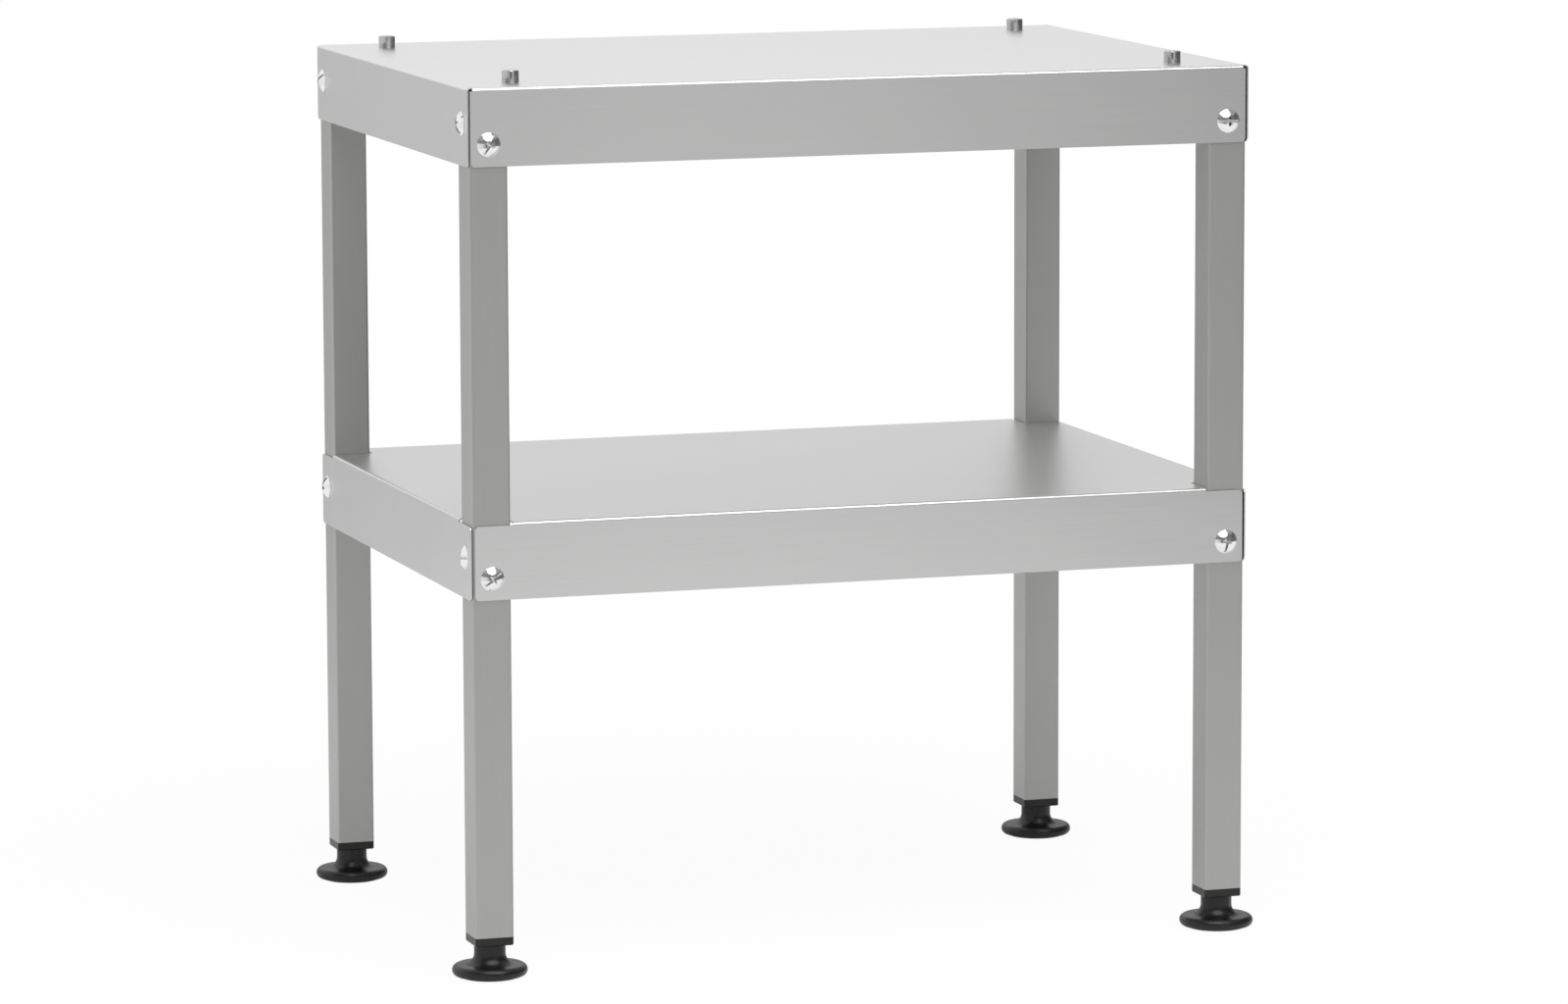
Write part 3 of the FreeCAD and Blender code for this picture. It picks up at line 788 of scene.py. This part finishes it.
def white_paper():
    """Matt white paper that shows as the backdrop's white, and keeps more of its shade in reflections."""
    material, tree = empty_material("paper_white_matt")
    rays = add_node(tree, "ShaderNodeLightPath")
    mirrored = add_node(tree, "ShaderNodeMath", {
        0: rays.outputs["Is Glossy Ray"], 1: rays.outputs["Is Transmission Ray"],
    }, operation="MAXIMUM")
    place = add_node(tree, "ShaderNodeTexCoord")
    distance = add_node(tree, "ShaderNodeVectorMath", {0: place.outputs["Object"]}, operation="LENGTH")
    fade_start = 0.45
    near_white = 0.95
    camera_white = add_node(tree, "ShaderNodeMapRange", {
        "Value": distance.outputs["Value"], "From Min": fade_start, "From Max": FADE_END,
        "To Min": near_white, "To Max": 1.0,
    }, interpolation_type="SMOOTHSTEP")
    mirror_start, mirror_end = 0.4, 0.7
    near_mirror_white = 0.2
    mirror_white = add_node(tree, "ShaderNodeMapRange", {
        "Value": distance.outputs["Value"], "From Min": mirror_start, "From Max": mirror_end,
        "To Min": near_mirror_white, "To Max": 1.0,
    }, interpolation_type="SMOOTHSTEP")
    to_camera = add_node(tree, "ShaderNodeMath", {
        0: rays.outputs["Is Camera Ray"], 1: camera_white.outputs[0],
    }, operation="MULTIPLY")
    to_mirror = add_node(tree, "ShaderNodeMath", {
        0: mirrored.outputs[0], 1: mirror_white.outputs[0],
    }, operation="MULTIPLY")
    factor = add_node(tree, "ShaderNodeMath", {
        0: to_camera.outputs[0], 1: to_mirror.outputs[0],
    }, operation="MAXIMUM")
    paper = add_node(tree, "ShaderNodeBsdfDiffuse", {"Color": linear("#f7f7f7")})
    glow = add_node(tree, "ShaderNodeEmission", {"Color": WHITE, "Strength": 1.0})
    mixed = add_node(tree, "ShaderNodeMixShader", {
        0: factor.outputs[0], 1: paper.outputs[0], 2: glow.outputs[0],
    })
    above = add_node(tree, "ShaderNodeNewGeometry")
    clear = add_node(tree, "ShaderNodeBsdfTransparent")
    one_sided = add_node(tree, "ShaderNodeMixShader", {
        0: above.outputs["Backfacing"], 1: mixed.outputs[0], 2: clear.outputs[0],
    })
    add_node(tree, "ShaderNodeOutputMaterial", {"Surface": one_sided.outputs[0]})
    return material


def disc(name, radius, height, material):
    """A flat round sheet that looks up."""
    shape = bmesh.new()
    bmesh.ops.create_circle(shape, cap_ends=True, radius=radius, segments=128)
    bmesh.ops.translate(shape, verts=shape.verts, vec=(0, 0, height))
    bmesh.ops.recalc_face_normals(shape, faces=shape.faces)
    mesh = bpy.data.meshes.new(name)
    shape.to_mesh(mesh)
    shape.free()
    if mesh.polygons[0].normal.z < 0:
        mesh.flip_normals()
    return new_piece(name, mesh, material)


floor = disc("studio_floor", FLOOR_RADIUS, FLOOR_HEIGHT, white_paper())

# Studio cards: a wide round wall of grey cards with white paper at its foot, dark flags above it on the
# camera's side, and a grey ceiling. Only reflections see them, and they give the upright steel faces their
# even greys.
CAMERA_AZIMUTH = -108.0
CARD_STEP = 5
WALL_RADIUS = 3.0
WALL_FOOT = -1.2
WALL_TOP = 0.9
FLAG_TOP = 2.2


def card_band(name, rings, tones):
    """A round band of card through rings of (radius, height).

    Tones are given as (degrees to the right of the camera, tone), and the card grades from one to the next.
    """
    steps = []
    for (start, first), (end, last) in zip(tones, tones[1:]):
        count = max(1, (end - start) // CARD_STEP)
        for i in range(count):
            steps.append((start + (end - start) * i / count, first + (last - first) * i / count))
    steps.append(tones[-1])
    points = []
    faces = []
    levels = []
    per_step = len(rings)
    for step, (degrees, tone) in enumerate(steps):
        angle = math.radians(CAMERA_AZIMUTH + degrees)
        for radius, height in rings:
            points.append((radius * math.cos(angle), radius * math.sin(angle), height))
            levels.append(tone)
        if step:
            for row in range(per_step - 1):
                here = step * per_step + row
                faces.append((here - per_step, here, here + 1, here - per_step + 1))
    mesh = bpy.data.meshes.new(name)
    mesh.from_pydata(points, [], faces)
    layer = mesh.attributes.new("tone", "FLOAT", "POINT")
    for entry, level in zip(layer.data, levels):
        entry.value = level
    band = new_piece(name, mesh, card_paint)
    band.visible_camera = False
    band.visible_diffuse = False
    band.visible_shadow = False


card_paint, card_tree = empty_material("card_grey_matt")
card_level = add_node(card_tree, "ShaderNodeAttribute", attribute_name="tone")
card_glow = add_node(card_tree, "ShaderNodeEmission", {"Strength": card_level.outputs["Fac"]})
add_node(card_tree, "ShaderNodeOutputMaterial", {"Surface": card_glow.outputs[0]})
card_band("studio_wall", [(WALL_RADIUS, WALL_FOOT), (WALL_RADIUS, WALL_TOP)], [
    (-60, 0.9), (-20, 0.7), (0, 0.2), (10, 0.2), (25, 0.68), (32, 0.82), (50, 0.3), (75, 0.15),
    (125, 0.15), (150, 0.45), (190, 0.5), (225, 0.58), (240, 0.95), (300, 0.9),
])
card_band("studio_apron", [(FADE_END, 0.001), (WALL_RADIUS, 0.0)], [
    (55, 0.4), (75, 0.95), (125, 0.95), (145, 0.5),
])
card_band("studio_flags", [(WALL_RADIUS, WALL_TOP), (WALL_RADIUS, FLAG_TOP)], [
    (-60, 0.3), (0, 0.2), (30, 0.28), (60, 0.2), (90, 0.12), (140, 0.12), (170, 1.0), (300, 1.0),
])
card_band("studio_ceiling", [(WALL_RADIUS, FLAG_TOP), (1.9, 3.6), (0.0, 4.5)], [
    (-90, 0.4), (140, 0.35), (150, 0.9), (270, 1.0),
])

# Studio light: a white tent all round, and one large round soft box high in front that brightens the bends
# and the screw heads. Seen directly or in a reflection, the tent is the white of the backdrop.
TENT_LEVEL = 0.55
BACKDROP_LEVEL = 1.0
world = bpy.data.worlds.new("studio")
bpy.context.scene.world = world
world.use_nodes = True
world.node_tree.nodes.clear()
rays = add_node(world.node_tree, "ShaderNodeLightPath")
in_view = add_node(world.node_tree, "ShaderNodeMath", {
    0: rays.outputs["Is Camera Ray"], 1: rays.outputs["Is Glossy Ray"],
}, operation="MAXIMUM")
seen = add_node(world.node_tree, "ShaderNodeMath", {
    0: in_view.outputs[0], 1: rays.outputs["Is Transmission Ray"],
}, operation="MAXIMUM")
tent = add_node(world.node_tree, "ShaderNodeBackground", {"Color": WHITE, "Strength": TENT_LEVEL})
backdrop = add_node(world.node_tree, "ShaderNodeBackground", {"Color": WHITE, "Strength": BACKDROP_LEVEL})
mixed = add_node(world.node_tree, "ShaderNodeMixShader", {
    0: seen.outputs[0], 1: tent.outputs[0], 2: backdrop.outputs[0],
})
add_node(world.node_tree, "ShaderNodeOutputWorld", {"Surface": mixed.outputs[0]})

SOFT_BOX_PLACE = Vector((0.0, -1.4, 2.4))
SOFT_BOX_TARGET = Vector((0.0, -0.1, 0.45))
soft_light = bpy.data.lights.new("front_box", "AREA")
soft_light.shape = "DISK"
soft_light.size = 2.6
soft_light.energy = 45
soft_box = bpy.data.objects.new("front_box", soft_light)
soft_box.location = SOFT_BOX_PLACE
soft_box.rotation_euler = (SOFT_BOX_TARGET - SOFT_BOX_PLACE).to_track_quat("-Z", "Y").to_euler()
soft_box.visible_camera = False
bpy.context.scene.collection.objects.link(soft_box)

# Camera: a long lens in front of the stand and to its left, which looks down a little from above the top
# shelf. Its angles are in degrees and its place is in metres.
CAMERA_PLACE = (-1.7487, -5.3806, 1.1204)
CAMERA_TURN = -18.076
CAMERA_LOOK_DOWN = 8.046
CAMERA_ROLL = -0.177
camera = bpy.data.objects.new("camera", bpy.data.cameras.new("camera"))
camera.data.lens = 166.2
camera.data.sensor_fit = "HORIZONTAL"
camera.data.sensor_width = 36
camera.data.clip_end = 100
turn = Matrix.Rotation(math.radians(CAMERA_TURN), 4, "Z")
tilt = Matrix.Rotation(math.radians(90 - CAMERA_LOOK_DOWN), 4, "X")
roll = Matrix.Rotation(math.radians(CAMERA_ROLL), 4, "Z")
camera.matrix_world = Matrix.Translation(CAMERA_PLACE) @ turn @ tilt @ roll
bpy.context.scene.collection.objects.link(camera)
bpy.context.scene.camera = camera
bpy.context.scene.view_settings.view_transform = "Standard"
